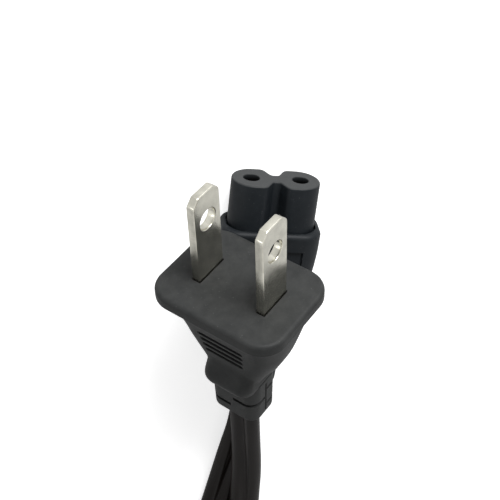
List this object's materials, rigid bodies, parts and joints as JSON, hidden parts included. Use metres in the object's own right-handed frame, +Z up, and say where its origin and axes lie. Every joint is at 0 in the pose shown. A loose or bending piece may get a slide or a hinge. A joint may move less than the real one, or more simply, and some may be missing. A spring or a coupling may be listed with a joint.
{
  "type": "figure eight power connector",
  "caption": "Mains cord set: a flat-blade plug rests on its figure-eight appliance connector, and the flat twin cord between them lies behind in a tied hank.",
  "frame": {"origin": "on the floor, under the middle of the box round the plug and the connector without the cord", "axes": "+Z up from the floor; the connector's face and the blades point towards -Y, the cord leaves towards +Y; +X to the side that the plug's lower blade is on"},
  "size_m": [0.0615, 0.2236, 0.0351],
  "materials": {
    "plug_pvc": "fine satin, moulded",
    "bridge_plastic": "matt, hidden",
    "blade_nickel": "bright nickel plate",
    "copper": "bare stranded copper",
    "lead_black": "semi-gloss insulation",
    "connector_pvc": "satin, moulded",
    "insert_plastic": "fine satin",
    "contact_brass": "stamped sheet",
    "cord_pvc": "semi-gloss extruded jacket",
    "tie_plastic": "flat coated tie"
  },
  "bodies": {
    "root": {"plug_overmould": "plug_pvc", "plug_bridge": "bridge_plastic", "blade_left": "blade_nickel", "blade_right": "blade_nickel", "plug_strands_left": "copper", "plug_strands_right": "copper", "plug_lead_left": "lead_black", "plug_lead_right": "lead_black", "connector_overmould": "connector_pvc", "connector_insert": "insert_plastic", "contact_left": "contact_brass", "contact_right": "contact_brass", "connector_strands_left": "copper", "connector_strands_right": "copper", "connector_lead_left": "lead_black", "connector_lead_right": "lead_black", "cord_plug_run": "cord_pvc", "cord_connector_run": "cord_pvc", "cord_hank": "cord_pvc", "hank_tie": "tie_plastic"}
  },
  "joints": []
}
